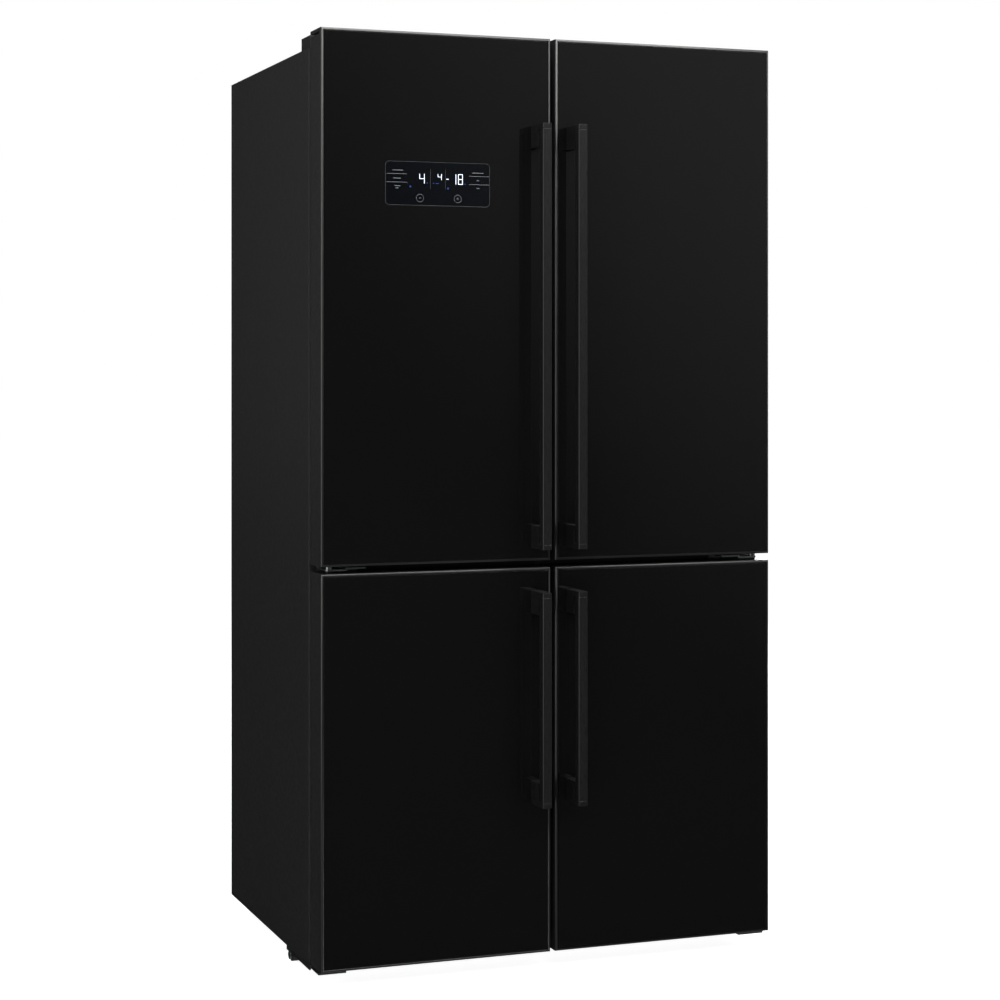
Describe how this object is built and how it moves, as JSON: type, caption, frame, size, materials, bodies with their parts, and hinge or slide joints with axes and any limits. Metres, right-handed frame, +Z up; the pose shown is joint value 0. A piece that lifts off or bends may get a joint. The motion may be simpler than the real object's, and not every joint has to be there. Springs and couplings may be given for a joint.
{
  "type": "side by side refrigerator",
  "caption": "Free-standing side by side refrigerator-freezer with hinged glass-fronted doors in two rows, bar handles, pull-out drawers, shelves and a door display.",
  "frame": {"origin": "centre of the overall footprint, on the floor under the levelling feet", "axes": "+Z up, -Y out of the door fronts, +X to the right when facing the doors"},
  "size_m": [0.912, 0.754, 1.764],
  "materials": {
    "black_paint": "satin",
    "black_glass": "gloss",
    "display_glass": "gloss",
    "black_aluminium": "satin",
    "galvanised_steel": "satin",
    "white_plastic": "satin",
    "clear_plastic": "gloss",
    "black_plastic": "satin",
    "gasket_rubber": "matte",
    "polyurethane_foam": "matte",
    "shelf_glass": "gloss",
    "compressor_paint": "satin",
    "fin_aluminium": "satin",
    "lamp_diffuser": "satin"
  },
  "bodies": {
    "cabinet": {"left_side_panel": "black_paint", "right_side_panel": "black_paint", "top_panel": "black_paint", "rear_panel": "galvanised_steel", "machine_cover": "galvanised_steel", "front_frame": "black_paint", "base_pan": "galvanised_steel", "insulation_foam": "polyurethane_foam", "compressor": "compressor_paint", "condenser": "fin_aluminium", "fan_bracket": "black_plastic", "evaporators": "fin_aluminium", "evaporator_covers": "white_plastic", "lamps": "lamp_diffuser", "top_hinges": "galvanised_steel", "top_hinge_covers": "black_plastic", "middle_hinges": "galvanised_steel", "bottom_hinges": "galvanised_steel", "shelves_left": "shelf_glass", "liner_upper_left": "white_plastic", "liner_lower_left": "white_plastic", "shelves_right": "shelf_glass", "liner_upper_right": "white_plastic", "liner_lower_right": "white_plastic"},
    "upper_left_door": {"door_upper_left": "black_paint", "door_glass_upper_left": "black_glass", "door_liner_upper_left": "white_plastic", "door_gasket_upper_left": "gasket_rubber", "door_handle_upper_left": "black_aluminium", "door_bins_left": "clear_plastic", "control_panel": "display_glass"},
    "upper_right_door": {"door_upper_right": "black_paint", "door_glass_upper_right": "black_glass", "door_liner_upper_right": "white_plastic", "door_gasket_upper_right": "gasket_rubber", "door_handle_upper_right": "black_aluminium", "door_bins_right": "clear_plastic"},
    "lower_left_door": {"door_lower_left": "black_paint", "door_glass_lower_left": "black_glass", "door_liner_lower_left": "white_plastic", "door_gasket_lower_left": "gasket_rubber", "door_handle_lower_left": "black_aluminium"},
    "lower_right_door": {"door_lower_right": "black_paint", "door_glass_lower_right": "black_glass", "door_liner_lower_right": "white_plastic", "door_gasket_lower_right": "gasket_rubber", "door_handle_lower_right": "black_aluminium"},
    "crisper_drawer_left_body": {"crisper_drawer_left": "clear_plastic"},
    "bottom_drawer_left_body": {"bottom_drawer_left": "clear_plastic"},
    "top_drawer_left_body": {"top_drawer_left": "clear_plastic"},
    "crisper_drawer_right_body": {"crisper_drawer_right": "clear_plastic"},
    "bottom_drawer_right_body": {"bottom_drawer_right": "clear_plastic"},
    "top_drawer_right_body": {"top_drawer_right": "clear_plastic"},
    "foot_left": {"levelling_foot_left": "black_plastic"},
    "front_roller_left_body": {"front_roller_left": "black_plastic"},
    "rear_roller_left_body": {"rear_roller_left": "black_plastic"},
    "foot_right": {"levelling_foot_right": "black_plastic"},
    "front_roller_right_body": {"front_roller_right": "black_plastic"},
    "rear_roller_right_body": {"rear_roller_right": "black_plastic"},
    "fan_rotor": {"condenser_fan": "black_plastic"}
  },
  "joints": [
    {"name": "upper_left_door_hinge", "type": "hinge", "parent": "cabinet", "child": "upper_left_door", "pos_m": [-0.433, -0.284, 1.27], "axis": [0, 0, -1], "range_deg": [0, 110]},
    {"name": "upper_right_door_hinge", "type": "hinge", "parent": "cabinet", "child": "upper_right_door", "pos_m": [0.433, -0.284, 1.27], "axis": [0, 0, 1], "range_deg": [0, 110]},
    {"name": "lower_left_door_hinge", "type": "hinge", "parent": "cabinet", "child": "lower_left_door", "pos_m": [-0.433, -0.284, 0.3985], "axis": [0, 0, -1], "range_deg": [0, 110]},
    {"name": "lower_right_door_hinge", "type": "hinge", "parent": "cabinet", "child": "lower_right_door", "pos_m": [0.433, -0.284, 0.3985], "axis": [0, 0, 1], "range_deg": [0, 110]},
    {"name": "crisper_drawer_left_slide", "type": "slide", "parent": "cabinet", "child": "crisper_drawer_left_body", "axis": [0, -1, 0], "range_m": [0, 0.075]},
    {"name": "bottom_drawer_left_slide", "type": "slide", "parent": "cabinet", "child": "bottom_drawer_left_body", "axis": [0, -1, 0], "range_m": [0, 0.075]},
    {"name": "top_drawer_left_slide", "type": "slide", "parent": "cabinet", "child": "top_drawer_left_body", "axis": [0, -1, 0], "range_m": [0, 0.075]},
    {"name": "crisper_drawer_right_slide", "type": "slide", "parent": "cabinet", "child": "crisper_drawer_right_body", "axis": [0, -1, 0], "range_m": [0, 0.075]},
    {"name": "bottom_drawer_right_slide", "type": "slide", "parent": "cabinet", "child": "bottom_drawer_right_body", "axis": [0, -1, 0], "range_m": [0, 0.075]},
    {"name": "top_drawer_right_slide", "type": "slide", "parent": "cabinet", "child": "top_drawer_right_body", "axis": [0, -1, 0], "range_m": [0, 0.075]},
    {"name": "levelling_foot_left_turn", "type": "hinge", "parent": "cabinet", "child": "foot_left", "pos_m": [-0.374, -0.136, 0.009], "axis": [0, 0, 1], "continuous": true},
    {"name": "front_roller_left_spin", "type": "hinge", "parent": "cabinet", "child": "front_roller_left_body", "pos_m": [-0.441, -0.083, 0.0125], "axis": [1, 0, 0], "continuous": true},
    {"name": "rear_roller_left_spin", "type": "hinge", "parent": "cabinet", "child": "rear_roller_left_body", "pos_m": [-0.409, 0.327, 0.012], "axis": [1, 0, 0], "continuous": true},
    {"name": "levelling_foot_right_turn", "type": "hinge", "parent": "cabinet", "child": "foot_right", "pos_m": [0.374, -0.136, 0.009], "axis": [0, 0, 1], "continuous": true},
    {"name": "front_roller_right_spin", "type": "hinge", "parent": "cabinet", "child": "front_roller_right_body", "pos_m": [0.441, -0.083, 0.0125], "axis": [1, 0, 0], "continuous": true},
    {"name": "rear_roller_right_spin", "type": "hinge", "parent": "cabinet", "child": "rear_roller_right_body", "pos_m": [0.409, 0.327, 0.012], "axis": [1, 0, 0], "continuous": true},
    {"name": "condenser_fan_spin", "type": "hinge", "parent": "cabinet", "child": "fan_rotor", "pos_m": [0.23, 0.277, 0.0945], "axis": [1, 0, 0], "continuous": true}
  ]
}
